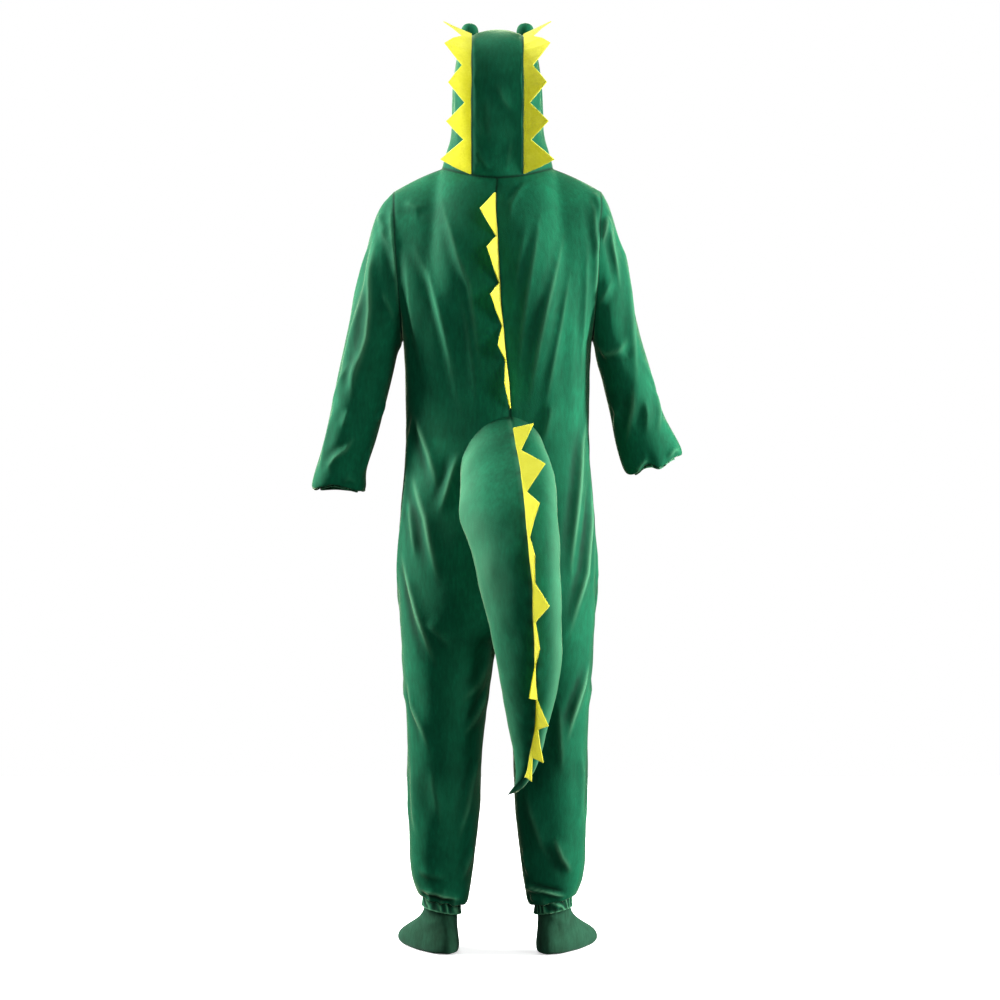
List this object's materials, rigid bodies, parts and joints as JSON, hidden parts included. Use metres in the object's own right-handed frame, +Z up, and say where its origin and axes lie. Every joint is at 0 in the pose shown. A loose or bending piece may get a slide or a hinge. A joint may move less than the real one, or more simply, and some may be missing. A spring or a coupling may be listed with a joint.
{
  "type": "dragon costume",
  "caption": "Hooded one-piece dragon costume of green velour, worn and hollow, with yellow felt spikes, small ears, a stuffed tail and matching foot covers.",
  "frame": {"origin": "midway between the wearer's shoulders, 1500 mm above the floor that the wearer stands on", "axes": "+Z up, +X to the wearer's left, -Y to the wearer's front, +Y to the back"},
  "size_m": [0.7415, 0.5516, 1.8549],
  "materials": {
    "velour": "dark green velour with a short soft nap and a pale sheen at grazing angles",
    "felt": "bright yellow pressed felt, matt",
    "sock": "matt dark green brushed jersey",
    "button": "dark green moulded plastic"
  },
  "bodies": {
    "root": {"back_left": "velour", "back_right": "velour", "front_left": "velour", "front_right": "velour", "sleeve_left": "velour", "sleeve_right": "velour", "wrist_cuff_left": "velour", "wrist_cuff_right": "velour", "ankle_cuff_left": "velour", "ankle_cuff_right": "velour", "hood_back": "velour", "hood_left": "velour", "hood_right": "velour", "ear_left": "velour", "ear_right": "velour", "tail_left": "velour", "tail_right": "velour", "placket": "velour", "hood_spikes_left": "felt", "hood_spikes_right": "felt", "back_spikes": "felt", "tail_spikes": "felt", "foot_cover_left": "sock", "foot_cover_right": "sock", "button_1": "button", "button_2": "button", "button_3": "button", "button_4": "button", "button_5": "button"}
  },
  "joints": []
}
